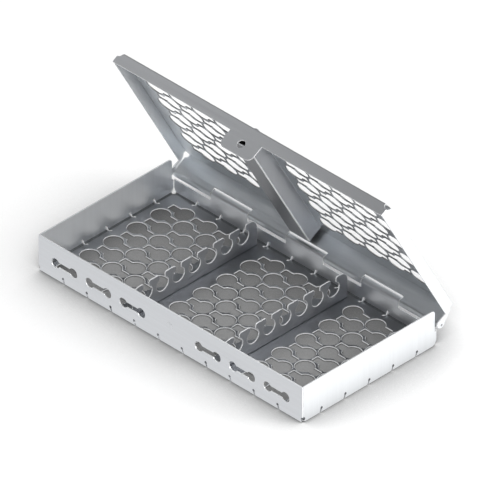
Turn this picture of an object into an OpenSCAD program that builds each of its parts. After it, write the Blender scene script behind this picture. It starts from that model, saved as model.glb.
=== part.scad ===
// Dental instrument cassette: a perforated sheet-steel tray with two instrument
// combs, and a perforated lid on a rolled hinge with a spring latch tab.
// X runs to the right, Y to the back and Z up. The origin is the middle of the
// tray's underside. The lid's parts are laid out closed, then swung open.

/* [Sheet] */
// Thickness of the folded steel sheet
sheet = 1; // [0.8:0.05:1.2]
// Gap left between two folded walls at a corner
seam = 0.3; // [0.2:0.1:0.8]

/* [Tray] */
// Width of the tray over its side walls
tray_w = 280; // [240:1:320]
// Depth of the tray from front face to back face
tray_d = 143.5; // [125:0.5:165]
// Height of the tray walls
tray_h = 32.5; // [31:0.5:40]
// Radius of the side walls' upper rear corner
rear_corner_r = 3; // [1:0.5:6]
// Gap between the side walls and the back wall, above the back wall's straps
rear_seam = 2; // [1:0.1:3]
// Radius of the walls' lower corners at the front
front_foot_r = 3.5; // [2:0.5:5]
// Radius of the walls' lower corners at the rear
rear_foot_r = 6.5; // [3:0.5:8]

/* [Lid] */
// Clearance between the tray walls and the lid flanges around them
lid_gap = 1; // [0.9:0.05:1.5]
// Clearance between the tray rim and the underside of the closed lid
lid_lift = 1.15; // [0.3:0.05:1.5]
// Height of the lid's front flange
front_flange_h = 10; // [8:0.5:11]
// Height of the lid's side flanges
side_flange_h = 9.7; // [6:0.1:10]
// Angle at which the lid stands open
open_angle = 61.1; // [0:0.1:175]

/* [Latch] */
// Width of the latch tab
tab_w = 33; // [24:1:45]
// Reach of the latch tab below the top of the lid
tab_reach = 25; // [22:0.5:28]
// Radius of the latch tab's lower corners
tab_corner_r = 5; // [2:0.5:6]
// Radius of the round relief cut out of the lid's front corners
lid_relief_r = 4; // [3:0.1:4.4]
// Radius of the hole in the latch tab
latch_hole_r = 3.5; // [3:0.1:4.5]
// Depth of the latch hole's centre below the top of the lid
latch_hole_drop = 16; // [15:0.5:18]
// Height of the latch bump on the front wall
bump_h = 0.8; // [0.5:0.05:0.85]
// Clearance of the latch bump inside the tab's hole
bump_clearance = 0.25; // [0.1:0.05:0.5]
// Height of the stacking stud on top of the lid
stud_h = 2; // [1:0.1:3]
// Radius of the stacking stud
stud_r = 3.5; // [2.5:0.1:4]
// Distance of the stacking stud's centre behind the lid's front edge
stud_inset = 5; // [5:0.5:15]

/* [Hinge] */
// Radius of the hinge pin
pin_r = 2.25; // [1.8:0.05:2.6]
// Radius of the pin's turned-down ends
pin_end_r = 1.1; // [0.8:0.05:1.3]
// Depth of the pin's ends inside the lid's ears
pin_recess = 0.3; // [0.1:0.05:0.5]
// Radius of the rounded end of the lid's ears, which hold the pin's ends
ear_r = 3.6; // [3.2:0.1:4]
// Distance of the ears' middle in front of the hinge axis
ear_lead = 1.5; // [0:0.1:1.8]
// Running clearance between the pin and the rolled knuckles
pin_clearance = 0.05; // [0.03:0.01:0.08]
// Height of the hinge axis above the tray's underside
pin_z = 17.4; // [16:0.1:20]
// Gap between neighbouring knuckles
knuckle_gap = 0.8; // [0.5:0.1:2]
// Height of the straps that carry the lid's rolled knuckles
strap_h = 3.9; // [3.7:0.1:4.5]
// Height of the straps that carry the tray's rolled knuckles
tray_strap_h = 4.2; // [3.9:0.1:6]
// Angle left open between a knuckle's rolled end and its strap
curl_opening = 70; // [50:5:100]

/* [Perforation] */
// Radius of a keyhole perforation's round end
hole_r = 7.7; // [6:0.1:7.8]
// Half width of its neck
neck_half_w = 3.3; // [2.5:0.1:3.4]
// Reach of the neck from the centre of the round end
neck_reach = 14.8; // [13:0.1:15]
// Corner radius at the end of the neck
neck_corner_r = 1; // [0.5:0.1:1.5]
// Spacing of the keyholes along a row
column_pitch = 24; // [24:0.5:28]
// Spacing of the rows
row_pitch = 12.55; // [12.5:0.05:14]
// Sideways shift of every second row
row_shift = 12.6; // [12:0.1:13]
// Plain margin between the front wall and the first row
front_margin = 6; // [4:0.5:10]
// Plain margin between a side wall and the first column
side_margin = 5.8; // [4:0.1:10]
// Least margin behind the last row
rear_margin = 5; // [3:0.5:10]
// Plain strip between a comb and the next column
comb_margin = 8.2; // [6:0.1:12]
// Plain margin around the lid's perforated fields, at the side flanges
lid_side_margin = 11; // [8:0.5:20]
// Plain margin between the lid's front flange and the first row
lid_front_margin = 26.7; // [15:0.1:35]
// Least margin in front of the lid's back flange
lid_rear_margin = 12; // [8:0.5:20]
// Plain margin between the hold-down channel and the perforated fields
channel_margin = 7.2; // [1:0.1:12]

/* [Combs] */
// Spacing of the two instrument combs
comb_pitch = 96; // [90:1:110]
// Offset of both combs to the right
comb_shift = 2.1; // [0:0.1:4]
// Height of the combs above the floor
comb_h = 24.5; // [22:0.5:27]
// Width of the foot flange behind each comb
comb_foot = 8; // [5:0.5:9]
// Gap between each end of a comb and the tray wall
comb_end_gap = 4.5; // [0.5:0.1:6]
// Radius of the upper corners at the ends of a comb
comb_end_r = 8; // [2:0.5:9]
// Spacing of the instrument slots
slot_pitch = 17.05; // [16:0.05:19]
// Radius of a slot's round seat
seat_r = 6.25; // [5:0.05:7]
// Height of the seat's centre above the floor
seat_z = 14.6; // [10:0.1:16]
// Width of the slot's mouth
mouth_w = 5.5; // [5:0.1:8]
// Corner radius on the comb's finger tips
finger_r = 2; // [1:0.1:2.5]

/* [Hold-down channel] */
// Width of the channel over its webs
channel_w = 21; // [14:0.5:26]
// Offset of the channel to the left of the lid's middle
channel_shift = 6.2; // [0:0.1:8]
// Depth of the channel below the lid
channel_d = 14; // [10:0.5:15.5]
// Distance of the channel's front end from the lid's front flange
channel_front = 5; // [3:0.5:20]
// Distance of the channel's rear end from the lid's back flange
channel_rear = 5.25; // [0.75:0.25:15]
// Width of the feet turned in under the lid
channel_foot = 4; // [2:0.5:5]

/* [Front slots] */
// Least margin between a dog-bone slot and the front wall's end
bone_margin = 10; // [5:1:12]
// Spacing of the dog-bone slots
bone_pitch = 36.25; // [34:0.25:37]
// Distance from the tray's middle to the nearest slot's centre
bone_start = 40; // [38:0.5:42]
// Height of the slots' centre line
bone_z = 15; // [12:0.5:18]
// Radius of a slot's round ends
bone_r = 4.3; // [3:0.1:5]
// Distance between the centres of the round ends
bone_span = 19; // [16:0.5:22]
// Width of the slot between its round ends
bone_neck_w = 4.6; // [3:0.1:6]

/* [Fold slits] */
// Spacing of the slits along the fold lines
slit_pitch = 25.3; // [20:0.1:32]
// Radius of the round end of a slit
slit_r = 1.2; // [0.6:0.1:1.5]
// Height of the round end above the tray's underside
slit_z = 4.2; // [3:0.1:5]
// Width of the slit
slit_w = 1.4; // [0.6:0.1:1.6]
// Sideways lean of the slit down to the fold
slit_lean = 1.5; // [0.5:0.1:2.5]
// Reach of the slit onto the tray floor
slit_run = 2.6; // [1:0.1:3]
// Radius of the relief holes at the rear corners
relief_r = 2.2; // [1.5:0.1:3]
// Radius of the relief holes at the front corners
front_relief_r = 1.7; // [1:0.1:2]
// Height of the front relief holes
front_relief_z = 3.2; // [3:0.1:4]

/* [Hidden] */
$fn = 48;

// How far a cutter reaches past the sheet that it cuts
over = 1;
// Tray faces
front_y = -tray_d / 2;
back_y = tray_d / 2;
inner_front = front_y + sheet;
inner_back = back_y - sheet;
inner_x = tray_w / 2 - sheet;
side_wall_front = inner_front + seam;
side_wall_back = inner_back - rear_seam;
side_foot_back = inner_back - seam;
back_wall_x = inner_x - seam;
side_length = side_wall_back - side_wall_front;
side_middle = (side_wall_front + side_wall_back) / 2;
// Hinge
bore_r = pin_r + pin_clearance;
barrel_r = bore_r + sheet;
pin_y = inner_back + barrel_r;
// Knuckles along the hinge, the tray's between the lid's
knuckles = 7;
knuckle_pitch = tray_w / knuckles;
back_wall_h = pin_z - tray_strap_h;
pin_end_x = tray_w / 2 + lid_gap + sheet - pin_recess;
ear_y = pin_y - ear_lead;
// Lid, closed
lid_w = tray_w + 2 * (lid_gap + sheet);
lid_inner_x = lid_w / 2 - sheet;
lid_front = front_y - lid_gap - sheet;
lid_inner_front = lid_front + sheet;
lid_under = tray_h + lid_lift;
lid_top = lid_under + sheet;
lid_side_back = inner_back - sheet;
lid_side_low = lid_top - side_flange_h;
latch_z = lid_top - latch_hole_drop;
// Perforated fields
keyhole_front = hole_r;
keyhole_run = hole_r + neck_reach;
shifted_run = row_shift + 2 * hole_r;
comb_clear = comb_margin + sheet / 2;
left_field_end = -channel_shift - channel_w / 2 - channel_margin;
right_field_start = -channel_shift + channel_w / 2 + channel_margin;
lid_field_x = lid_inner_x - lid_side_margin;
// Front slots
bone_reach = bone_span / 2 + bone_r;
slots_per_side = floor((tray_w / 2 - bone_start - bone_reach - bone_margin) / bone_pitch) + 1;
// Combs
comb_x = [comb_shift - comb_pitch / 2, comb_shift + comb_pitch / 2];
comb_len = inner_back - inner_front - 2 * comb_end_gap;
comb_slots = floor((comb_len - 2 * seat_r) / slot_pitch);

// How many keyholes fit a run of the given width
function columns(width, run) = floor((width - run) / column_pitch + 0.001) + 1;
// How many rows fit between the first row's front edge and a limit
function rows(depth) = floor((depth - 2 * hole_r) / row_pitch + 0.001) + 1;

// One keyhole perforation, its neck pointing along X in the given sense
module keyhole(sense) {
    circle(hole_r);
    scale([sense, 1]) {
        translate([0, -neck_half_w])
            square([neck_reach - neck_corner_r, 2 * neck_half_w]);
        translate([0, -neck_half_w + neck_corner_r])
            square([neck_reach, 2 * (neck_half_w - neck_corner_r)]);
        for (side = [-1, 1])
            translate([neck_reach - neck_corner_r, side * (neck_half_w - neck_corner_r)])
                circle(neck_corner_r, $fn = 24);
    }
}

// Rows of keyholes, every second row turned round and shifted by half a column
module keyhole_field(x0, plain_columns, turned_columns, row_count, y0, turned_first) {
    for (row = [0 : row_count - 1]) {
        turned = (row % 2 == 1) != turned_first;
        y = y0 + hole_r + row * row_pitch;
        if (turned)
            for (i = [0 : turned_columns - 1])
                translate([x0 + hole_r + row_shift + i * column_pitch, y])
                    keyhole(-1);
        else
            for (i = [0 : plain_columns - 1])
                translate([x0 + hole_r + i * column_pitch, y])
                    keyhole(1);
    }
}

// Keyholes of one bay of the floor, between two heights in X
module bay_field(x0, x1, turned_first) {
    count = columns(x1 - x0, shifted_run);
    row_count = rows(inner_back - inner_front - front_margin - rear_margin);
    keyhole_field(x0, count, count, row_count, inner_front + front_margin, turned_first);
}

// Elevation in X and Z, made into a wall whose front face is at y
module wall_xz(y) {
    translate([0, y + sheet, 0])
        rotate([90, 0, 0])
            linear_extrude(sheet)
                children();
}

// Elevation in Y and Z, made into a wall whose left face is at x
module wall_yz(x) {
    translate([x, 0, 0])
        rotate([90, 0, 90])
            linear_extrude(sheet)
                children();
}

// Section of a wall whose lower left edge is rounded by the fold
module folded_section(height) {
    translate([0, sheet])
        square([sheet, height - sheet]);
    intersection() {
        square(sheet);
        translate([sheet, sheet])
            circle(sheet);
    }
}

// Slit at u in a wall, from its round end down through the fold
module fold_slit(u, lean) {
    foot = u + lean * (slit_z + over) / slit_z;
    translate([u, slit_z])
        circle(slit_r, $fn = 24);
    polygon([
        [u - slit_w / 2, slit_z],
        [u + slit_w / 2, slit_z],
        [foot + slit_w / 2, -over],
        [foot - slit_w / 2, -over]
    ]);
}

// The same slit where it runs on over the floor, away from the fold at v = 0
module floor_slit(u, lean) {
    slope = lean / slit_z;
    start = u + lean - slope * over;
    end = u + lean + slope * slit_run;
    polygon([
        [start - slit_w / 2, -over],
        [start + slit_w / 2, -over],
        [end + slit_w / 2, slit_run],
        [end - slit_w / 2, slit_run]
    ]);
}

// Places of the slits along a fold of the given middle and length
function slit_places(middle, length) =
    let (count = floor(length / slit_pitch - 0.2))
        [for (i = [0 : count - 1]) middle + (i - (count - 1) / 2) * slit_pitch];

// Slits along the bottom of a wall
module fold_slits(middle, length, lean) {
    for (u = slit_places(middle, length))
        fold_slit(u, lean);
}

// Slits along an edge of the floor
module floor_slits(middle, length, lean) {
    for (u = slit_places(middle, length))
        floor_slit(u, lean);
}

// What is cut away to round the corner at the origin towards +u and +v
module corner_cut(radius) {
    difference() {
        translate([-over, -over])
            square(radius + over);
        translate([radius, radius])
            circle(radius);
    }
}

// Tray floor with its three perforated bays
module base_floor() {
    color("gainsboro")
        linear_extrude(sheet)
            difference() {
                translate([-inner_x, inner_front])
                    square([2 * inner_x, inner_back - inner_front]);
                bay_field(-inner_x + side_margin, comb_x[0] - sheet / 2 - comb_foot, false);
                bay_field(comb_x[0] + comb_clear, comb_x[1] - sheet / 2 - comb_foot, false);
                bay_field(comb_x[1] + comb_clear, inner_x, true);
                for (side = [-1, 1]) {
                    translate([side * inner_x, inner_back])
                        circle(relief_r);
                    translate([side * inner_x, inner_front])
                        circle(front_relief_r);
                }
                translate([0, inner_front])
                    floor_slits(0, tray_w, slit_lean);
                translate([0, inner_back])
                    mirror([0, 1])
                        floor_slits(0, tray_w, -slit_lean);
                translate([-inner_x, 0])
                    mirror([1, 0])
                        rotate(90)
                            floor_slits(side_middle, side_length, slit_lean);
                translate([inner_x, 0])
                    rotate(90)
                        floor_slits(side_middle, side_length, -slit_lean);
            }
}

// One dog-bone slot in the front wall
module bone_slot(x) {
    translate([x - bone_span / 2, bone_z - bone_neck_w / 2])
        square([bone_span, bone_neck_w]);
    for (side = [-1, 1])
        translate([x + side * bone_span / 2, bone_z])
            circle(bone_r);
}

// Front wall with the dog-bone slots
module base_front_wall() {
    color("lightsteelblue")
        intersection() {
            wall_xz(front_y)
                difference() {
                    translate([-tray_w / 2, 0])
                        square([tray_w, tray_h]);
                    for (side = [-1, 1]) {
                        for (i = [0 : slots_per_side - 1])
                            bone_slot(side * (bone_start + i * bone_pitch));
                        translate([side * tray_w / 2, front_relief_z])
                            circle(front_relief_r);
                        translate([side * tray_w / 2, 0])
                            scale([-side, 1])
                                corner_cut(front_foot_r);
                    }
                    fold_slits(0, tray_w, slit_lean);
                }
            translate([-tray_w / 2, front_y, 0])
                rotate([90, 0, 90])
                    linear_extrude(tray_w)
                        folded_section(tray_h);
        }
}

// Elevation of a side wall, as seen from the right
module side_elevation(lean) {
    difference() {
        union() {
            translate([side_wall_front, 0])
                square([side_length, tray_h - rear_corner_r]);
            translate([side_wall_front, 0])
                square([side_length - rear_corner_r, tray_h]);
            translate([side_wall_back - rear_corner_r, tray_h - rear_corner_r])
                circle(rear_corner_r);
            translate([side_wall_front, 0])
                square([side_foot_back - side_wall_front, back_wall_h]);
        }
        translate([side_foot_back, 0])
            scale([-1, 1])
                corner_cut(rear_foot_r);
        translate([side_wall_front, front_relief_z])
            circle(front_relief_r);
        translate([side_wall_front, 0])
            corner_cut(front_foot_r);
        fold_slits(side_middle, side_length, lean);
    }
}

// Left wall; mirrored, with its slits leaning the other way, it is the right one
module side_wall(lean) {
    intersection() {
        wall_yz(-tray_w / 2)
            side_elevation(lean);
        translate([-tray_w / 2, back_y, 0])
            rotate([90, 0, 0])
                linear_extrude(tray_d)
                    folded_section(tray_h);
    }
}

module base_left_wall() {
    color("silver")
        side_wall(slit_lean);
}

module base_right_wall() {
    color("whitesmoke")
        mirror([1, 0, 0])
            side_wall(-slit_lean);
}

// Back wall, up to the straps of the rolled knuckles
module base_back_wall() {
    color("silver")
        intersection() {
            wall_xz(inner_back)
                difference() {
                    translate([-back_wall_x, 0])
                        square([2 * back_wall_x, back_wall_h]);
                    for (side = [-1, 1])
                        translate([side * back_wall_x, 0])
                            scale([-side, 1])
                                corner_cut(rear_foot_r);
                    fold_slits(0, tray_w, -slit_lean);
                }
            translate([-tray_w / 2, back_y, 0])
                rotate([90, 0, 90])
                    linear_extrude(tray_w)
                        mirror([1, 0])
                            folded_section(back_wall_h);
        }
}

// Section of a rolled knuckle about the hinge axis; its strap hangs down
module knuckle_section(strap) {
    reach = 2 * barrel_r;
    end_angle = 180 + curl_opening;
    difference() {
        circle(barrel_r);
        circle(bore_r);
        polygon([
            [0, 0],
            [-reach, 0],
            [-reach, -reach],
            [reach * cos(end_angle), reach * sin(end_angle)]
        ]);
    }
    translate([-barrel_r, -strap])
        square([sheet, strap]);
}

// The knuckle at a place along the hinge, counted from the left
module knuckle(place) {
    translate([-tray_w / 2 + place * knuckle_pitch + knuckle_gap / 2, pin_y, pin_z])
        rotate([90, 0, 90])
            linear_extrude(knuckle_pitch - knuckle_gap)
                children();
}

module base_knuckle(number) {
    color("silver")
        knuckle(2 * number - 1)
            knuckle_section(tray_strap_h);
}

// Pin with turned-down ends, which carry the ears of the lid
module hinge_pin() {
    color("dimgray")
        translate([0, pin_y, pin_z])
            rotate([0, 90, 0]) {
                cylinder(h = tray_w - knuckle_gap, r = pin_r, center = true);
                cylinder(h = 2 * pin_end_x, r = pin_end_r, center = true);
            }
}

// Elevation of a comb: round seats open upward through narrower mouths
module comb_elevation() {
    top = sheet + comb_h;
    tip_z = top - finger_r;
    difference() {
        translate([-comb_len / 2, sheet])
            square([comb_len, comb_h]);
        for (side = [-1, 1])
            translate([side * comb_len / 2, top])
                scale([-side, -1])
                    corner_cut(comb_end_r);
        for (i = [0 : comb_slots - 1]) {
            y = (i - (comb_slots - 1) / 2) * slot_pitch;
            translate([y, sheet + seat_z])
                circle(seat_r);
            translate([y - mouth_w / 2, sheet + seat_z])
                square([mouth_w, comb_h]);
            for (side = [-1, 1])
                translate([y + side * (mouth_w / 2 + finger_r), tip_z])
                    finger_corner(-side);
        }
    }
}

// What is cut away to round a finger tip towards one side
module finger_corner(side) {
    difference() {
        scale([side, 1])
            square([finger_r, finger_r + over]);
        circle(finger_r, $fn = 32);
    }
}

// One comb: a slotted wall with a foot flange behind it on the floor
module comb(x) {
    intersection() {
        wall_yz(x - sheet / 2)
            comb_elevation();
        translate([x - sheet / 2, comb_len / 2, sheet])
            rotate([90, 0, 0])
                linear_extrude(comb_len)
                    translate([sheet, 0])
                        mirror([1, 0])
                            folded_section(comb_h);
    }
    translate([x - sheet / 2 - comb_foot, -comb_len / 2, sheet])
        cube([comb_foot, comb_len, sheet]);
}

module comb_left() {
    color("darkgray")
        comb(comb_x[0]);
}

module comb_right() {
    color("darkgray")
        comb(comb_x[1]);
}

// Cap of a ball that stands on the plane z = 0
module dome(radius, height) {
    ball_r = (radius * radius + height * height) / (2 * height);
    rotate_extrude($fn = 96)
        intersection() {
            translate([0, height - ball_r])
                circle(ball_r, $fn = 360);
            square([radius + over, height + over]);
        }
}

// Bump that the latch tab's hole snaps over
module latch_bump() {
    color("lightsteelblue")
        translate([0, front_y, latch_z])
            rotate([90, 0, 0])
                dome(latch_hole_r - bump_clearance, bump_h);
}

// Swings what is laid out closed to the open lid's place
module swung_open() {
    translate([0, pin_y, pin_z])
        rotate([-open_angle, 0, 0])
            translate([0, -pin_y, -pin_z])
                children();
}

// Lid panel with a perforated field on each side of the channel
module lid_panel() {
    left_count = columns(left_field_end + lid_field_x, keyhole_run);
    right_count = columns(lid_field_x - right_field_start, keyhole_run);
    row_count = rows(inner_back - lid_inner_front - lid_front_margin - lid_rear_margin);
    y0 = lid_inner_front + lid_front_margin;
    color("lightgray")
        swung_open()
            translate([0, 0, lid_under])
                linear_extrude(sheet)
                    difference() {
                        translate([-lid_inner_x, lid_inner_front])
                            square([2 * lid_inner_x, inner_back - lid_inner_front]);
                        keyhole_field(-lid_field_x, left_count, left_count - 1, row_count, y0, false);
                        keyhole_field(right_field_start, right_count, right_count - 1, row_count, y0, true);
                        for (side = [-1, 1]) {
                            translate([side * lid_inner_x, inner_back])
                                circle(relief_r);
                            translate([side * lid_w / 2, lid_front])
                                circle(lid_relief_r);
                        }
                    }
}

// Section of a flange that hangs from the lid, its upper left edge rounded
module hanging_section(height) {
    translate([0, height])
        mirror([0, 1])
            folded_section(height);
}

// Front flange over the whole width, its upper corners cut away
module lid_front_flange() {
    low = lid_top - front_flange_h;
    color("lightsteelblue")
        swung_open()
            intersection() {
                wall_xz(lid_front)
                    difference() {
                        translate([-lid_w / 2, low])
                            square([lid_w, front_flange_h]);
                        for (side = [-1, 1])
                            translate([side * lid_w / 2, lid_top])
                                circle(lid_relief_r);
                    }
                translate([-lid_w / 2, lid_front, low])
                    rotate([90, 0, 90])
                        linear_extrude(lid_w)
                            hanging_section(front_flange_h);
            }
}

// Tab with rounded lower corners and the hole that snaps over the bump
module latch_tab() {
    half = tab_w / 2;
    low = lid_top - tab_reach;
    high = lid_top - front_flange_h;
    color("lightsteelblue")
        swung_open()
            wall_xz(lid_front)
                difference() {
                    union() {
                        translate([-half, low + tab_corner_r])
                            square([tab_w, high - low - tab_corner_r]);
                        translate([-half + tab_corner_r, low])
                            square([tab_w - 2 * tab_corner_r, high - low]);
                        for (side = [-1, 1])
                            translate([side * (half - tab_corner_r), low + tab_corner_r])
                                circle(tab_corner_r);
                    }
                    translate([0, latch_z])
                        circle(latch_hole_r);
                }
}

// Elevation of the ear that a side flange reaches down to the pin's end
module ear_elevation() {
    ear_top = lid_top - 2 * relief_r;
    difference() {
        union() {
            polygon([
                [ear_y - ear_r, ear_top],
                [ear_y - ear_r, pin_z],
                [ear_y + ear_r, pin_z],
                [lid_side_back, ear_top]
            ]);
            translate([ear_y, pin_z])
                circle(ear_r);
        }
        translate([pin_y, pin_z])
            circle(pin_end_r + pin_clearance);
    }
}

// Left side flange, its upper corners cut away; mirrored, it is the right one
module side_flange() {
    start = lid_inner_front + seam;
    swung_open()
        intersection() {
            wall_yz(-lid_w / 2) {
                difference() {
                    translate([start, lid_side_low])
                        square([lid_side_back - start, side_flange_h]);
                    translate([lid_front, lid_top])
                        circle(lid_relief_r);
                    translate([lid_side_back, lid_top - relief_r])
                        circle(relief_r);
                }
                ear_elevation();
            }
            translate([-lid_w / 2, ear_y + ear_r, pin_z - ear_r])
                rotate([90, 0, 0])
                    linear_extrude(ear_y + ear_r - start)
                        hanging_section(lid_top - pin_z + ear_r);
        }
}

module lid_left_flange() {
    color("silver")
        side_flange();
}

module lid_right_flange() {
    color("whitesmoke")
        mirror([1, 0, 0])
            side_flange();
}

// Back flange, down to the straps of the lid's rolled knuckles
module lid_back_flange() {
    low = pin_z + strap_h;
    color("silver")
        swung_open()
            intersection() {
                wall_xz(inner_back)
                    difference() {
                        translate([-tray_w / 2, low])
                            square([tray_w, lid_top - low]);
                        for (side = [-1, 1])
                            translate([side * tray_w / 2, lid_top - relief_r])
                                circle(relief_r);
                    }
                translate([-tray_w / 2, back_y, low])
                    rotate([90, 0, 90])
                        linear_extrude(tray_w)
                            mirror([1, 0])
                                hanging_section(lid_top - low);
            }
}

module lid_knuckle(number) {
    color("silver")
        swung_open()
            knuckle(2 * number - 2)
                mirror([0, 1])
                    knuckle_section(strap_h);
}

// Channel under the lid, a little left of its middle, which keeps the instruments down: its
// closed side faces the tray, and its feet are turned in under the lid
module hold_down_channel() {
    start = lid_inner_front + channel_front;
    end = inner_back - channel_rear;
    color("darkgray")
        swung_open()
            translate([-channel_shift, end, lid_under - channel_d])
                rotate([90, 0, 0])
                    linear_extrude(end - start)
                        for (side = [0, 1])
                            mirror([side, 0]) {
                                translate([-channel_w / 2, 0])
                                    folded_section(channel_d);
                                translate([-channel_w / 2 + sheet, 0])
                                    square([channel_w / 2 - sheet, sheet]);
                                translate([-channel_w / 2 + sheet, channel_d - sheet])
                                    square([channel_foot - sheet, sheet]);
                            }
}

module stacking_stud() {
    color("gray")
        swung_open()
            translate([0, lid_front + stud_inset, lid_top])
                dome(stud_r, stud_h);
}

base_floor();
base_front_wall();
base_left_wall();
base_right_wall();
base_back_wall();
base_knuckle(1);  // base_knuckle_1
base_knuckle(2);  // base_knuckle_2
base_knuckle(3);  // base_knuckle_3
hinge_pin();
comb_left();
comb_right();
latch_bump();
lid_panel();
lid_front_flange();
latch_tab();
lid_left_flange();
lid_right_flange();
lid_back_flange();
lid_knuckle(1);  // lid_knuckle_1
lid_knuckle(2);  // lid_knuckle_2
lid_knuckle(3);  // lid_knuckle_3
lid_knuckle(4);  // lid_knuckle_4
hold_down_channel();
stacking_stud();
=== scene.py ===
import math

import bmesh
import bpy
from mathutils import Matrix, Vector


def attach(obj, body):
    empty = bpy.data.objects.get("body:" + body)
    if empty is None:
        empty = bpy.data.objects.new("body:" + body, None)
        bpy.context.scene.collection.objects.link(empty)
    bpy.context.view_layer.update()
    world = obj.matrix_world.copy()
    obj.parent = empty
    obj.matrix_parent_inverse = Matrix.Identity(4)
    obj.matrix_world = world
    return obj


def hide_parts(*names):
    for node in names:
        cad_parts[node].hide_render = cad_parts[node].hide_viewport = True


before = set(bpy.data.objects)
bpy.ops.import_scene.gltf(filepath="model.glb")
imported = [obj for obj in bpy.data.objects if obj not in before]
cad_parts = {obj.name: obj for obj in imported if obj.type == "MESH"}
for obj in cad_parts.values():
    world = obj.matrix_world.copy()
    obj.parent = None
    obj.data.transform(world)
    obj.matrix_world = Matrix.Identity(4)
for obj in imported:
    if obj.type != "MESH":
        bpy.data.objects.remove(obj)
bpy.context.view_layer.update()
scene = bpy.context.scene
scene.view_settings.view_transform = "Standard"
mm = 0.001
openAngle = 61.1  # how far the lid stands open
print("frame loaded:", len(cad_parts), "nodes")

camera = {
    "toCamera": (1, -1, 1),  # isometric, from the front right
    "centreOnTable": (-0.0530, 0.06085, 0),  # what the middle of the picture shows
    "nearness": 0.08,  # from there towards the camera, where the picture is frameWidth wide
    "frameWidth": 0.3675,
    "lens": 1500,
    "sensor": 36,
    "clip": (1, 60),
}


def makeCamera():
    away = Vector(camera["toCamera"]).normalized()
    distance = camera["frameWidth"] * camera["lens"] / camera["sensor"]
    data = bpy.data.cameras.new("studioCamera")
    data.lens = camera["lens"]
    data.sensor_width = camera["sensor"]
    data.clip_start, data.clip_end = camera["clip"]
    obj = bpy.data.objects.new("studioCamera", data)
    obj.rotation_mode = "QUATERNION"
    obj.rotation_quaternion = away.to_track_quat("Z", "Y")
    obj.location = Vector(camera["centreOnTable"]) + away * (camera["nearness"] + distance)
    scene.collection.objects.link(obj)
    scene.camera = obj


lamps = {
    "keyRight": {"place": (0.95, 0.60, 0.40), "size": 0.6, "power": 6},
    "flangeSoft": {"place": (-0.69, -0.19, 0.96), "size": 0.5, "power": 0.4},
    "edgeFront": {"place": (0.75, -0.75, 0.85), "size": 0.25, "power": 2.4},
}


def makeLamp(name, settings):
    place = Vector(settings["place"])
    data = bpy.data.lights.new(name, "AREA")
    data.shape = "SQUARE"
    data.size = settings["size"]
    data.energy = settings["power"]
    obj = bpy.data.objects.new(name, data)
    obj.rotation_mode = "QUATERNION"
    obj.rotation_quaternion = place.to_track_quat("Z", "Y")
    obj.location = place
    scene.collection.objects.link(obj)


def maths(tree, operation, *values):
    node = tree.nodes.new("ShaderNodeMath")
    node.operation = operation
    for i, value in enumerate(values):
        if isinstance(value, bpy.types.NodeSocket):
            tree.links.new(value, node.inputs[i])
        else:
            node.inputs[i].default_value = value
    return node.outputs[0]


def toRange(tree, value, between, onto, smooth=False):
    node = tree.nodes.new("ShaderNodeMapRange")
    node.interpolation_type = "SMOOTHSTEP" if smooth else "LINEAR"
    node.inputs["From Min"].default_value, node.inputs["From Max"].default_value = between
    node.inputs["To Min"].default_value, node.inputs["To Max"].default_value = onto
    tree.links.new(value, node.inputs["Value"])
    return node.outputs[0]


def seenBy(tree, *kinds):
    rays = tree.nodes.new("ShaderNodeLightPath")
    seen = rays.outputs[kinds[0]]
    for kind in kinds[1:]:
        seen = maths(tree, "MAXIMUM", seen, rays.outputs[kind])
    return seen


def mixedShader(tree, factor, first, second):
    mix = tree.nodes.new("ShaderNodeMixShader")
    tree.links.new(factor, mix.inputs["Fac"])
    tree.links.new(first, mix.inputs[1])
    tree.links.new(second, mix.inputs[2])
    return mix.outputs[0]


room = {
    "ambient": 0.95,  # what it adds to the lamps
    "ceiling": 0.06,  # the dark above the white sweep, as metal reflects it
    "sweepTop": (0.02, 0.35),  # between these heights the sweep turns into ceiling
}


def makeRoom():
    world = bpy.data.worlds.new("studioWorld")
    scene.world = world
    world.use_nodes = True
    tree = world.node_tree
    tree.nodes.clear()
    link = tree.links.new
    coords = tree.nodes.new("ShaderNodeTexCoord")
    split = tree.nodes.new("ShaderNodeSeparateXYZ")
    link(coords.outputs["Generated"], split.inputs[0])
    light = tree.nodes.new("ShaderNodeBackground")
    light.inputs["Color"].default_value = (1, 1, 1, 1)
    light.inputs["Strength"].default_value = room["ambient"]
    backdrop = tree.nodes.new("ShaderNodeBackground")
    backdrop.inputs["Strength"].default_value = 1
    tone = toRange(tree, split.outputs["Z"], room["sweepTop"], (1, room["ceiling"]), True)
    link(tone, backdrop.inputs["Color"])
    seen = seenBy(tree, "Is Camera Ray", "Is Glossy Ray", "Is Transmission Ray")
    output = tree.nodes.new("ShaderNodeOutputWorld")
    link(mixedShader(tree, seen, light.outputs[0], backdrop.outputs[0]), output.inputs["Surface"])


table = {
    "size": 6.0,
    "skySamples": 8,
    "shadeReach": 0.135,  # how far from the object its soft contact shadow reaches
    "shadeRange": (0.35, 0.95),  # open sky at which that shadow is full, and gone
    "shadeDepth": 0.66,
    "shadowLineReach": 0.004,  # a thin painted contact shadow where sheet and table meet
    "shadowLineRange": (0.3, 0.9),
    "shadowLineDepth": 0.5,
    "underShadowHalf": (0.139, 0.0707),  # the rectangle of table under the tray that gets a painted shadow
    "underShadowSoft": 0.004,
    "underShadowTone": 0.4,  # painted shadow: its brightness against the open table
    "underShadowReflected": 0.6,  # the same painted shadow as the steel reflects it
    "glow": 0.74,  # the open table as the steel reflects it
    "rightReflectionGlow": 1.25,  # and a brighter glow on its right part, a painted reflection seen only by the steel
    "rightReflectionFrom": (0.135, 0.165),  # along X, where the table turns into that brighter glow
}


def openSky(tree, reach, between, depth):
    sky = tree.nodes.new("ShaderNodeAmbientOcclusion")
    sky.inputs["Distance"].default_value = reach
    sky.samples = table["skySamples"]
    return toRange(tree, sky.outputs["AO"], between, (1 - depth, 1))


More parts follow.
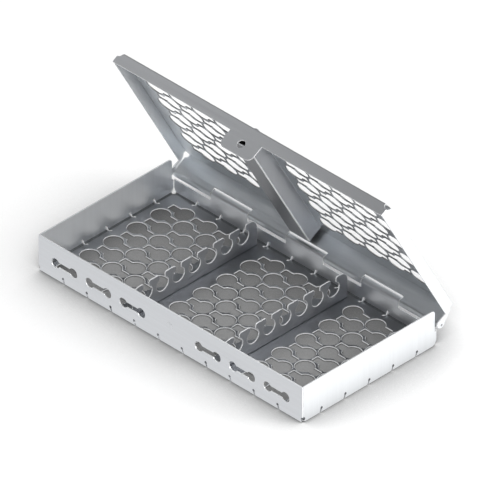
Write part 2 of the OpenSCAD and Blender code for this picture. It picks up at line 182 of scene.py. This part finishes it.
def makeTable():
    half = table["size"] / 2
    corners = [(-half, -half, 0), (half, -half, 0), (half, half, 0), (-half, half, 0)]
    mesh = bpy.data.meshes.new("tableTop")
    mesh.from_pydata(corners, [], [(0, 1, 2, 3)])
    obj = bpy.data.objects.new("tableTop", mesh)
    scene.collection.objects.link(obj)
    material = bpy.data.materials.new("paleTable")
    material.use_nodes = True
    mesh.materials.append(material)
    tree = material.node_tree
    tree.nodes.clear()
    link = tree.links.new
    coords = tree.nodes.new("ShaderNodeTexCoord")
    split = tree.nodes.new("ShaderNodeSeparateXYZ")
    link(coords.outputs["Object"], split.inputs[0])
    # painted shadow: the table is darker in a soft-edged rectangle under the tray, for the camera and in
    # reflections
    sides = []
    for i, reach in enumerate(table["underShadowHalf"]):
        distance = maths(tree, "ABSOLUTE", split.outputs[i])
        sides.append(toRange(tree, distance, (reach - table["underShadowSoft"], reach), (table["underShadowTone"], 1)))
    trayShadowMask = maths(tree, "MAXIMUM", *sides)
    shade = openSky(tree, table["shadeReach"], table["shadeRange"], table["shadeDepth"])
    # painted contact shadow: a short-reach occlusion darkens the table's colour at the sheet's edges
    line = openSky(tree, table["shadowLineReach"], table["shadowLineRange"], table["shadowLineDepth"])
    matt = tree.nodes.new("ShaderNodeBsdfDiffuse")
    link(maths(tree, "MULTIPLY", maths(tree, "MULTIPLY", shade, trayShadowMask), line), matt.inputs["Color"])
    # painted reflection: the table glows brighter at the right for glossy rays only, which brightens the right
    # wall
    rightReflection = toRange(tree, split.outputs["X"], table["rightReflectionFrom"], (table["glow"], table["rightReflectionGlow"]), True)
    reflectedTrayShadow = toRange(tree, trayShadowMask, (table["underShadowTone"], 1), (table["underShadowReflected"], 1))
    glow = tree.nodes.new("ShaderNodeEmission")
    link(maths(tree, "MULTIPLY", rightReflection, reflectedTrayShadow), glow.inputs["Strength"])
    seen = seenBy(tree, "Is Glossy Ray", "Is Transmission Ray")
    output = tree.nodes.new("ShaderNodeOutputMaterial")
    link(mixedShader(tree, seen, matt.outputs[0], glow.outputs[0]), output.inputs["Surface"])


makeCamera()
for name, settings in lamps.items():
    makeLamp(name, settings)
makeRoom()
makeTable()
print("camera, lamps, room and table made")

grains = {"alongX": (6, 420, 420), "alongZ": (420, 420, 6), "even": (300, 300, 300)}  # scales of the noise
brushing = {"detail": 4, "roughness": 0.08, "darker": 0.94, "lighter": 1.05, "bump": 0.08, "depth": 0.0003}
steel = {
    "brushedAlong": {"colour": (0.84, 0.86, 0.89), "roughness": 0.38, "grain": "alongX"},
    "brushedUpright": {"colour": (0.86, 0.88, 0.90), "roughness": 0.38, "grain": "alongZ"},
    "brushedLeaning": {"colour": (0.86, 0.88, 0.90), "roughness": 0.38, "grain": "alongZ", "turn": -openAngle},
    # painted shade: the floor's steel is about half as light as the walls', for the shade inside the tray
    "brushedFloor": {"colour": (0.42, 0.43, 0.45), "roughness": 0.36, "grain": "alongX"},
    # painted shade: a darker copy of the steel for the lid's panel and back flange, for the shade under the lid
    "brushedLid": {"colour": (0.78, 0.81, 0.84), "roughness": 0.38, "grain": "alongX"},
    # painted shade: a darker copy of the steel for the hold-down channel under the lid
    "brushedInside": {"colour": (0.50, 0.51, 0.53), "roughness": 0.38, "grain": "alongZ"},
    # painted shade: a much darker copy of the steel for the combs standing inside the tray
    "brushedComb": {"colour": (0.36, 0.37, 0.39), "roughness": 0.4, "grain": "alongZ"},
    # painted shade: a dark, dull finish for the folds and the cut faces in the slits
    "foldBand": {"colour": (0.30, 0.31, 0.32), "roughness": 0.6, "grain": "even"},
    # partly the bare cut steel, partly a painted highlight: lighter and part diffuse, so cut faces and rounded
    # edges read as bright lines
    "cutEdge": {"colour": (0.93, 0.94, 0.95), "roughness": 0.24, "grain": "even", "metallic": 0.4},
    # painted shade: a darker edge finish for the walls of the lid's holes
    "punchedEdge": {"colour": (0.42, 0.43, 0.44), "roughness": 0.5, "grain": "even"},
    "turnedPin": {"colour": (0.25, 0.25, 0.26), "roughness": 0.4, "grain": "alongX"},
}


def brushedSteel(name):
    values = steel[name]
    material = bpy.data.materials.new(name)
    material.use_nodes = True
    tree = material.node_tree
    link = tree.links.new
    shader = tree.nodes["Principled BSDF"]
    shader.inputs["Metallic"].default_value = values.get("metallic", 1)
    coords = tree.nodes.new("ShaderNodeTexCoord")
    mapping = tree.nodes.new("ShaderNodeMapping")
    mapping.inputs["Rotation"].default_value = (math.radians(values.get("turn", 0)), 0, 0)
    mapping.inputs["Scale"].default_value = grains[values["grain"]]
    noise = tree.nodes.new("ShaderNodeTexNoise")
    noise.inputs["Scale"].default_value = 1
    noise.inputs["Detail"].default_value = brushing["detail"]
    link(coords.outputs["Object"], mapping.inputs["Vector"])
    link(mapping.outputs[0], noise.inputs["Vector"])
    grain = noise.outputs["Fac"]
    rough, spread = values["roughness"], brushing["roughness"]
    link(toRange(tree, grain, (0, 1), (rough - spread, rough + spread)), shader.inputs["Roughness"])
    tint = tree.nodes.new("ShaderNodeMix")
    tint.data_type = "RGBA"
    for side, strength in (("A", brushing["darker"]), ("B", brushing["lighter"])):
        tint.inputs[side].default_value = [part * strength for part in values["colour"]] + [1]
    link(grain, tint.inputs["Factor"])
    link(tint.outputs["Result"], shader.inputs["Base Color"])
    bump = tree.nodes.new("ShaderNodeBump")
    bump.inputs["Strength"].default_value = brushing["bump"]
    bump.inputs["Distance"].default_value = brushing["depth"]
    link(grain, bump.inputs["Height"])
    link(bump.outputs[0], shader.inputs["Normal"])
    return material


metals = {name: brushedSteel(name) for name in steel}
print("steel finishes made:", ", ".join(metals))

sheet = {  # from here on lengths are in millimetres
    "thickness": 1.0,
    "edgeRound": 0.4,  # of the rims of its punched holes
    "edgeSteps": 2,
    "foldRound": 1.2,  # inside its folds
    "foldSteps": 6,
    "reliefSteps": 4,
    "mitre": 0.5,  # keeps a sharp corner of an outline from running away when the outline shrinks
    "weld": 2e-3,
}
keyhole = {"radius": 7.7, "neckHalf": 3.3, "reach": 14.8, "corner": 1.0, "arcSteps": 32, "cornerSteps": 3}
keyholeRows = {"columnPitch": 24.0, "rowPitch": 12.55, "rowShift": 12.6}
floor = {
    "innerX": 139.0,
    "innerFront": -70.75,
    "innerBack": 70.75,
    "frontRelief": 1.7,
    "rearRelief": 2.2,
    "slitPitch": 25.3,
    "slitWidth": 1.4,
    "slitRun": 2.6,
    "slitLean": 1.5,
    "slitHeight": 4.2,
    "longSlits": 10,
    "shortSlits": 5,
    "sideMiddle": -0.85,
    "filletEnd": 2.4,  # the fillets in the folds stop short of the corner reliefs
    "filletGap": 0.2,  # and of the slits
    "filletLean": 0.75,
    "fields": [  # first keyhole, columns, rows, whether its row starts turned
        ((-125.5, -57.05), 3, 10, False),
        ((-29.5, -57.05), 3, 10, False),
        ((66.5, -57.05), 3, 10, True),
    ],
    "turnedShortBy": 0,  # keyholes missing in the turned rows
    "finish": "brushedFloor",
    "edgeFinish": "cutEdge",
}
lid = {  # as it lies closed
    "innerX": 141.0,
    "innerFront": -72.75,
    "innerBack": 70.75,
    "under": 33.65,
    "hinge": (74.05, 17.4),
    "frontRelief": 4.0,  # its centre lies a sheet's thickness outside the panel's corner
    "frontReliefSteps": 6,
    "rearRelief": 2.2,
    "fields": [
        ((-122.3, -38.35), 4, 8, False),
        ((19.2, -38.35), 5, 8, True),
    ],
    "turnedShortBy": 1,
    "finish": "brushedLid",
    "edgeFinish": "punchedEdge",
}


def swing():
    y, z = lid["hinge"]
    centre = Matrix.Translation((0, y * mm, z * mm))
    return centre @ Matrix.Rotation(math.radians(-openAngle), 4, "X") @ centre.inverted()


def arc(centre, radius, start, end, steps):
    points = []
    for i in range(steps + 1):
        angle = math.radians(start + (end - start) * i / steps)
        points.append(Vector((centre[0] + radius * math.cos(angle), centre[1] + radius * math.sin(angle))))
    return points


def cutArc(*shape):
    return [(point, True) for point in arc(*shape)]


def keyholeLoop():
    radius, half, reach, corner = (keyhole[k] for k in ("radius", "neckHalf", "reach", "corner"))
    side = math.degrees(math.asin(half / radius))
    loop = cutArc((0, 0), radius, side, 360 - side, keyhole["arcSteps"])
    loop += cutArc((reach - corner, corner - half), corner, -90, 0, keyhole["cornerSteps"])
    loop += cutArc((reach - corner, half - corner), corner, 0, 90, keyhole["cornerSteps"])
    loop.reverse()  # the sheet lies on the left of the outline
    return loop


def slitPlaces(count, middle):
    return [middle + (i - (count - 1) / 2) * floor["slitPitch"] for i in range(count)]


def slittedEdge(start, end, places, lean):
    direction = (end - start).normalized()
    inward = Vector((-direction.y, direction.x))
    slope, run, width = lean / floor["slitHeight"], floor["slitRun"], floor["slitWidth"]
    loop = []
    for place in places:
        for along, depth in ((-1, 0), (-1, 1), (1, 1), (1, 0)):
            offset = place + lean + slope * run * depth + along * width / 2
            loop.append((start + direction * offset + inward * run * depth, depth == 1))
    return loop


def floorBorder():
    x, front, back, middle = (floor[k] for k in ("innerX", "innerFront", "innerBack", "sideMiddle"))
    corners = [Vector(corner) for corner in ((-x, front), (x, front), (x, back), (-x, back))]
    reliefs = (("frontRelief", 90), ("frontRelief", 180), ("rearRelief", 270), ("rearRelief", 0))
    sides = (
        ("longSlits", x, 1),
        ("shortSlits", middle - front, -1),
        ("longSlits", x, 1),
        ("shortSlits", back - middle, -1),
    )
    loop = []
    for i, ((relief, turn), (slits, centre, sense)) in enumerate(zip(reliefs, sides)):
        start, end = corners[i], corners[(i + 1) % 4]
        loop += cutArc(start, floor[relief], turn, turn - 90, sheet["reliefSteps"])
        loop += slittedEdge(start, end, slitPlaces(floor[slits], centre), sense * floor["slitLean"])
    return loop


def lidBorder():
    x, front, back = lid["innerX"], lid["innerFront"], lid["innerBack"]
    radius, out, steps = lid["frontRelief"], sheet["thickness"], lid["frontReliefSteps"]
    bite = math.degrees(math.asin(out / radius))
    loop = cutArc((-x - out, front - out), radius, 90 - bite, bite, steps)
    loop += cutArc((x + out, front - out), radius, 180 - bite, 90 + bite, steps)
    loop += cutArc((x, back), lid["rearRelief"], 270, 180, sheet["reliefSteps"])
    loop += cutArc((-x, back), lid["rearRelief"], 0, -90, sheet["reliefSteps"])
    return loop


def movedIn(loop, amount):
    moved = []
    for i, (here, cut) in enumerate(loop):
        before = (here - loop[i - 1][0]).normalized()
        after = (loop[(i + 1) % len(loop)][0] - here).normalized()
        middle = (before + after).normalized()
        reach = amount / max(middle.dot(after), sheet["mitre"]) if cut else 0
        moved.append(here + Vector((-middle.y, middle.x)) * reach)
    return moved


def rimMesh(name, loop):
    thick, radius, steps = sheet["thickness"], sheet["edgeRound"], sheet["edgeSteps"]
    stations = []  # how far in, and how high, each ring of the rounded rim lies
    for i in range(steps + 1):
        angle = math.radians(90 * i / steps)
        stations.append((radius * (1 - math.sin(angle)), thick - radius * (1 - math.cos(angle))))
    stations += [(amount, thick - height) for amount, height in reversed(stations)]
    bm = bmesh.new()
    ringLayer = bm.edges.layers.int.new("ring")  # 1 on the upper border, 2 on the lower
    rimLayer = bm.faces.layers.int.new("rim")  # 1 on cut faces
    rings = []
    for amount, height in stations:
        rings.append([bm.verts.new((p.x * mm, p.y * mm, height * mm)) for p in movedIn(loop, amount)])
    count = len(loop)
    for upper, lower in zip(rings, rings[1:]):
        for i in range(count):
            j = (i + 1) % count
            face = bm.faces.new((lower[i], lower[j], upper[j], upper[i]))
            face[rimLayer] = 1 if loop[i][1] or loop[j][1] else 0
    for ring, mark in ((rings[0], 1), (rings[-1], 2)):
        for i in range(count):
            bm.edges.get((ring[i], ring[(i + 1) % count]))[ringLayer] = mark
    mesh = bpy.data.meshes.new(name)
    bm.to_mesh(mesh)
    bm.free()
    return mesh


def newTree(name, sockets):
    tree = bpy.data.node_groups.new(name, "GeometryNodeTree")
    tree.is_modifier = True
    add = tree.interface.new_socket
    add(name="Geometry", in_out="OUTPUT", socket_type="NodeSocketGeometry")
    ids = {}
    for label, kind in (("Geometry", "Geometry"), *sockets):
        ids[label] = add(name=label, in_out="INPUT", socket_type="NodeSocket" + kind).identifier
    return tree, ids


def punchRowsTree():
    tree, ids = newTree("punchRows", (
        ("Punch", "Object"),
        ("First Punch", "Vector"),
        ("Columns", "Int"),
        ("Rows", "Int"),
        ("Column Pitch", "Float"),
        ("Row Pitch", "Float"),
        ("Row Shift", "Float"),
        ("First Row Turned", "Int"),
        ("Turned Rows Short By", "Int"),
    ))
    link = tree.links.new
    given = tree.nodes.new("NodeGroupInput").outputs
    out = tree.nodes.new("NodeGroupOutput")
    points = tree.nodes.new("GeometryNodePoints")
    link(maths(tree, "MULTIPLY", given["Columns"], given["Rows"]), points.inputs["Count"])
    index = tree.nodes.new("GeometryNodeInputIndex").outputs[0]
    row = maths(tree, "FLOOR", maths(tree, "DIVIDE", maths(tree, "ADD", index, 0.5), given["Columns"]))
    column = maths(tree, "SUBTRACT", index, maths(tree, "MULTIPLY", row, given["Columns"]))
    turned = maths(tree, "MODULO", maths(tree, "ADD", row, given["First Row Turned"]), 2.0)
    place = tree.nodes.new("ShaderNodeCombineXYZ")
    across = maths(tree, "MULTIPLY", column, given["Column Pitch"])
    link(maths(tree, "ADD", across, maths(tree, "MULTIPLY", turned, given["Row Shift"])), place.inputs["X"])
    link(maths(tree, "MULTIPLY", row, given["Row Pitch"]), place.inputs["Y"])
    shifted = tree.nodes.new("ShaderNodeVectorMath")
    link(place.outputs[0], shifted.inputs[0])
    link(given["First Punch"], shifted.inputs[1])
    link(shifted.outputs[0], points.inputs["Position"])
    turn = tree.nodes.new("ShaderNodeCombineXYZ")
    link(maths(tree, "MULTIPLY", turned, math.pi), turn.inputs["Z"])
    missing = maths(tree, "MULTIPLY", turned, given["Turned Rows Short By"])
    kept = maths(tree, "SUBTRACT", given["Columns"], missing)
    punch = tree.nodes.new("GeometryNodeObjectInfo")
    link(given["Punch"], punch.inputs["Object"])
    rims = tree.nodes.new("GeometryNodeInstanceOnPoints")
    link(points.outputs[0], rims.inputs["Points"])
    link(maths(tree, "LESS_THAN", column, maths(tree, "SUBTRACT", kept, 0.5)), rims.inputs["Selection"])
    link(punch.outputs["Geometry"], rims.inputs["Instance"])
    link(turn.outputs[0], rims.inputs["Rotation"])
    join = tree.nodes.new("GeometryNodeJoinGeometry")
    link(given["Geometry"], join.inputs[0])
    link(rims.outputs[0], join.inputs[0])
    real = tree.nodes.new("GeometryNodeRealizeInstances")
    link(join.outputs[0], real.inputs[0])
    link(real.outputs[0], out.inputs[0])
    return tree, ids


def sheetFacesTree():
    tree, ids = newTree("sheetFaces", (
        ("Thickness", "Float"),
        ("Sheet Finish", "Material"),
        ("Edge Finish", "Material"),
    ))
    link = tree.links.new
    given = tree.nodes.new("NodeGroupInput").outputs
    out = tree.nodes.new("NodeGroupOutput")
    join = tree.nodes.new("GeometryNodeJoinGeometry")
    ring, rim = (tree.nodes.new("GeometryNodeInputNamedAttribute") for _ in range(2))
    for marks, name in ((ring, "ring"), (rim, "rim")):
        marks.data_type = "INT"
        marks.inputs["Name"].default_value = name
    for mark in (1, 2):
        loops = tree.nodes.new("GeometryNodeSeparateGeometry")
        loops.domain = "EDGE"
        same = tree.nodes.new("FunctionNodeCompare")
        same.data_type = "INT"
        same.operation = "EQUAL"
        link(ring.outputs["Attribute"], same.inputs[2])
        same.inputs[3].default_value = mark
        link(given["Geometry"], loops.inputs["Geometry"])
        link(same.outputs[0], loops.inputs["Selection"])
        curves = tree.nodes.new("GeometryNodeMeshToCurve")
        link(loops.outputs["Selection"], curves.inputs["Mesh"])
        fill = tree.nodes.new("GeometryNodeFillCurve")
        link(curves.outputs[0], fill.inputs["Curve"])
        if mark == 1:
            lift = tree.nodes.new("GeometryNodeTransform")
            height = tree.nodes.new("ShaderNodeCombineXYZ")
            link(given["Thickness"], height.inputs["Z"])
            link(fill.outputs[0], lift.inputs["Geometry"])
            link(height.outputs[0], lift.inputs["Translation"])
            link(lift.outputs[0], join.inputs[0])
        else:
            flip = tree.nodes.new("GeometryNodeFlipFaces")
            link(fill.outputs[0], flip.inputs[0])
            link(flip.outputs[0], join.inputs[0])
    link(given["Geometry"], join.inputs[0])
    weld = tree.nodes.new("GeometryNodeMergeByDistance")
    weld.inputs["Distance"].default_value = sheet["weld"] * mm
    real = tree.nodes.new("GeometryNodeRealizeInstances")
    finish = tree.nodes.new("GeometryNodeSetMaterial")
    edge = tree.nodes.new("GeometryNodeSetMaterial")
    link(join.outputs[0], weld.inputs[0])
    link(weld.outputs[0], real.inputs[0])
    link(real.outputs[0], finish.inputs["Geometry"])
    link(given["Sheet Finish"], finish.inputs["Material"])
    link(finish.outputs[0], edge.inputs["Geometry"])
    link(rim.outputs["Attribute"], edge.inputs["Selection"])
    link(given["Edge Finish"], edge.inputs["Material"])
    link(edge.outputs[0], out.inputs[0])
    return tree, ids


def addModifier(obj, built, values):
    tree, ids = built
    modifier = obj.modifiers.new(tree.name, "NODES")
    modifier.node_group = tree
    for name, value in values.items():
        modifier[ids[name]] = value


def baked(obj):
    graph = bpy.context.evaluated_depsgraph_get()
    mesh = bpy.data.meshes.new_from_object(obj.evaluated_get(graph))
    mesh.name = obj.name
    obj.modifiers.clear()
    obj.data = mesh
    return obj


def piece(name, mesh):
    obj = bpy.data.objects.new(name, mesh)
    scene.collection.objects.link(obj)
    return obj


def smoothed(obj, angle=20):
    for face in obj.data.polygons:
        face.use_smooth = True
    obj.data.set_sharp_from_angle(angle=math.radians(angle))


punchRows = punchRowsTree()
sheetFaces = sheetFacesTree()
keyholePunch = piece("keyholePunch", rimMesh("keyholePunch", keyholeLoop()))


def perforated(name, border, plan):
    obj = piece(name, rimMesh(name, border))
    for place, columns, rows, turned in plan["fields"]:
        addModifier(obj, punchRows, {
            "Punch": keyholePunch,
            "First Punch": (place[0] * mm, place[1] * mm, 0),
            "Columns": columns,
            "Rows": rows,
            "Column Pitch": keyholeRows["columnPitch"] * mm,
            "Row Pitch": keyholeRows["rowPitch"] * mm,
            "Row Shift": keyholeRows["rowShift"] * mm,
            "First Row Turned": int(turned),
            "Turned Rows Short By": plan["turnedShortBy"],
        })
    addModifier(obj, sheetFaces, {
        "Thickness": sheet["thickness"] * mm,
        "Sheet Finish": metals[plan["finish"]],
        "Edge Finish": metals[plan["edgeFinish"]],
    })
    return baked(obj)


def addFillet(obj, start, end, sideways):
    mesh = obj.data
    radius, steps = sheet["foldRound"] * mm, sheet["foldSteps"]
    section = [Vector((0, 0))]
    for i in range(steps + 1):
        angle = math.radians(90 * i / steps)
        section.append(Vector((radius * (1 - math.sin(angle)), radius * (1 - math.cos(angle)))))
    bm = bmesh.new()
    bm.from_mesh(mesh)
    rings = []
    for at in (start, end):
        corner = Vector(at) * mm
        rings.append([bm.verts.new(corner + Vector(sideways) * p.x + Vector((0, 0, p.y))) for p in section])
    made = []
    count = len(section)
    for i in range(count):
        j = (i + 1) % count
        made.append(bm.faces.new((rings[0][i], rings[0][j], rings[1][j], rings[1][i])))
    made.append(bm.faces.new(rings[0]))
    made.append(bm.faces.new(rings[1]))
    for face in made:
        face.material_index = len(mesh.materials) - 1
    bmesh.ops.recalc_face_normals(bm, faces=made)
    bm.to_mesh(mesh)
    bm.free()


def stretches(start, end, slits, gap):
    marks = [start] + [p + side * gap / 2 for p in slits for side in (-1, 1)] + [end]
    return list(zip(marks[0::2], marks[1::2]))


def addFoldFillets(obj):
    x, front, back, end = (floor[k] for k in ("innerX", "innerFront", "innerBack", "filletEnd"))
    top = sheet["thickness"]
    lean = floor["slitLean"] * floor["filletLean"]
    gap = floor["slitWidth"] + floor["filletGap"]
    longPlaces = slitPlaces(floor["longSlits"], 0)
    shortPlaces = slitPlaces(floor["shortSlits"], floor["sideMiddle"])
    for sense, y in ((1, front), (-1, back)):
        for start, stop in stretches(end - x, x - end, [p + sense * lean for p in longPlaces], gap):
            addFillet(obj, (start, y, top), (stop, y, top), (0, sense, 0))
    for sense, side in ((1, -x), (-1, x)):
        for start, stop in stretches(front + end, back - end, [p + sense * lean for p in shortPlaces], gap):
            addFillet(obj, (side, start, top), (side, stop, top), (sense, 0, 0))


trayFloor = perforated("trayFloor", floorBorder(), floor)
# painted shade: the fold fillets take this dark finish, darker in the folds
trayFloor.data.materials.append(metals["foldBand"])
addFoldFillets(trayFloor)
smoothed(trayFloor)
lidPanel = perforated("lidPanel", lidBorder(), lid)
lidPanel.data.transform(swing() @ Matrix.Translation((0, 0, lid["under"] * mm)))
smoothed(lidPanel)
bpy.data.objects.remove(keyholePunch)
for obj, body, node, slot in (
    (trayFloor, "base", "base_floor", "tray_steel"),
    (lidPanel, "lid", "lid_panel", "lid_steel"),
):
    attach(obj, body)
    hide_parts(node)
print("perforated sheets made:", len(trayFloor.data.polygons), "and", len(lidPanel.data.polygons), "faces")

folded = {  # across is the direction of the sheet's thickness
    "trayFrontWall": {"nodes": ["base_front_wall"], "body": "base", "finish": "brushedAlong", "across": "y"},
    "trayLeftWall": {"nodes": ["base_left_wall"], "body": "base", "finish": "brushedUpright", "across": "x"},
    "trayRightWall": {"nodes": ["base_right_wall"], "body": "base", "finish": "brushedUpright", "across": "x"},
    "trayBackWall": {
        "nodes": ["base_back_wall", "base_knuckle_1", "base_knuckle_2", "base_knuckle_3"],
        "body": "base",
        "finish": "brushedAlong",
        "across": "y",
    },
    "hingePin": {
        "nodes": ["hinge_pin"],
        "body": "base",
        "finish": "turnedPin",
        "across": "round",
        "slot": "pin_steel",
    },
    "combLeft": {
        "nodes": ["comb_left"],
        "body": "base",
        "finish": "brushedComb",
        "across": "x",
        "slot": "comb_steel",
    },
    "combRight": {
        "nodes": ["comb_right"],
        "body": "base",
        "finish": "brushedComb",
        "across": "x",
        "slot": "comb_steel",
    },
    "latchBump": {"nodes": ["latch_bump"], "body": "base", "finish": "brushedAlong", "across": "round"},
    "lidFrontFlange": {
        "nodes": ["lid_front_flange", "latch_tab"],
        "body": "lid",
        "finish": "brushedAlong",
        "across": "y",
    },
    "lidLeftFlange": {"nodes": ["lid_left_flange"], "body": "lid", "finish": "brushedLeaning", "across": "x"},
    "lidRightFlange": {"nodes": ["lid_right_flange"], "body": "lid", "finish": "brushedLeaning", "across": "x"},
    "lidBackFlange": {
        "nodes": ["lid_back_flange", "lid_knuckle_1", "lid_knuckle_2", "lid_knuckle_3", "lid_knuckle_4"],
        "body": "lid",
        "finish": "brushedLid",
        "across": "y",
    },
    "holdDownChannel": {
        "nodes": ["hold_down_channel"],
        "body": "lid",
        "finish": "brushedInside",
        "across": "channel",
        "slot": "comb_steel",
    },
    "stackingStud": {"nodes": ["stacking_stud"], "body": "lid", "finish": "brushedAlong", "across": "round"},
}
edges = {
    "width": 0.28,
    "segments": 2,
    "sharpest": 40,  # degrees past which an edge is rounded
    "flat": 0.5,  # degrees within which faces become one
    "weld": 1e-3,
    "foldDepth": 1.15,  # how far a fold reaches from the outer face of the sheet
    "barrelReach": 3.8,  # and a rolled knuckle from the hinge's axis
    "slitTop": 5.6,  # cut faces of the tray below this height lie in its slits and take the painted fold shade
    "square": 0.7,  # a face that looks along a knuckle or the channel by this much is its cut end
    "slanting": (0.2, 0.98),  # and one of the channel that looks sideways by this much is cut too
    "edgeOn": 0.5,  # elsewhere a cut face looks along the sheet's thickness by less than this
    "parallel": 0.9,  # how parallel to a fold an edge is that stays sharp
}


def cleanCopy(node):
    bm = bmesh.new()
    bm.from_mesh(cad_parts[node].data)
    bmesh.ops.remove_doubles(bm, verts=bm.verts, dist=edges["weld"] * mm)
    bmesh.ops.dissolve_limit(bm, angle_limit=math.radians(edges["flat"]), verts=bm.verts, edges=bm.edges)
    mesh = bpy.data.meshes.new(node)
    bm.to_mesh(mesh)
    bm.free()
    return piece(node + "Copy", mesh)


def joinedCopy(name, nodes):
    obj = cleanCopy(nodes[0])
    obj.name = name
    for node in nodes[1:]:
        other = cleanCopy(node)
        union = obj.modifiers.new("union", "BOOLEAN")
        union.operation = "UNION"
        union.solver = "EXACT"
        union.object = other
        baked(obj)
        bpy.data.objects.remove(other)
    return obj


def dressed(name):
    plan = folded[name]
    body, across = plan["body"], plan["across"]
    obj = joinedCopy(name, plan["nodes"])
    back = swing().inverted() if body == "lid" else Matrix()  # the lid is judged as it lies closed
    hingeY, hingeZ = lid["hinge"]
    lidTop = lid["under"] + sheet["thickness"]
    fold = Vector((1, 0, 0) if across == "y" else (0, 1, 0))
    bm = bmesh.new()
    bm.from_mesh(obj.data)
    bmesh.ops.dissolve_limit(bm, angle_limit=math.radians(edges["flat"]), verts=bm.verts, edges=bm.edges)
    bm.transform(back)
    bm.normal_update()
    weights = bm.edges.layers.float.new("bevel_weight_edge")

    def inFold(point):
        height = point.z / mm
        if body == "lid":
            return height > lidTop - edges["foldDepth"]
        under = sheet["thickness"] if name.startswith("comb") else 0  # a comb's foot lies on the floor
        return height < under + edges["foldDepth"]

    def isCut(face, middle):
        normal = face.normal
        if across == "round":
            return False
        if across == "channel":
            low, high = edges["slanting"]
            return abs(normal.y) > edges["square"] or low < abs(normal.x) < high
        fromHinge = math.hypot(middle.y / mm - hingeY, middle.z / mm - hingeZ)
        if across == "y" and fromHinge < edges["barrelReach"]:
            return abs(normal.x) > edges["square"]
        return abs(getattr(normal, across)) < edges["edgeOn"] and not inFold(middle)

    for face in bm.faces:
        middle = face.calc_center_median()
        inSlit = body == "base" and middle.z < edges["slitTop"] * mm
        # cut faces in the tray's slits take the painted fold shade, other cut faces the cut-edge finish
        face.material_index = (2 if inSlit else 1) if isCut(face, middle) else 0
    for line in bm.edges:
        if len(line.link_faces) != 2 or line.calc_face_angle() < math.radians(edges["sharpest"]):
            continue
        first, second = (vert.co for vert in line.verts)
        along = abs((first - second).normalized().dot(fold))
        if across in ("x", "y") and inFold((first + second) / 2) and along > edges["parallel"]:
            continue
        line[weights] = 1
    bm.transform(back.inverted())
    bm.to_mesh(obj.data)
    bm.free()
    for finish in (plan["finish"], "cutEdge", "foldBand"):
        obj.data.materials.append(metals[finish])
    bevel = obj.modifiers.new("edges", "BEVEL")
    bevel.limit_method = "WEIGHT"
    bevel.width = edges["width"] * mm
    bevel.segments = edges["segments"]
    # the rounded edges take the cut-edge finish with its painted highlight
    bevel.material = 1
    baked(obj)
    smoothed(obj)
    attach(obj, body)
    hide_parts(*plan["nodes"])
    return obj


for name in folded:
    made = dressed(name)
    print(name, len(made.data.polygons), "faces")
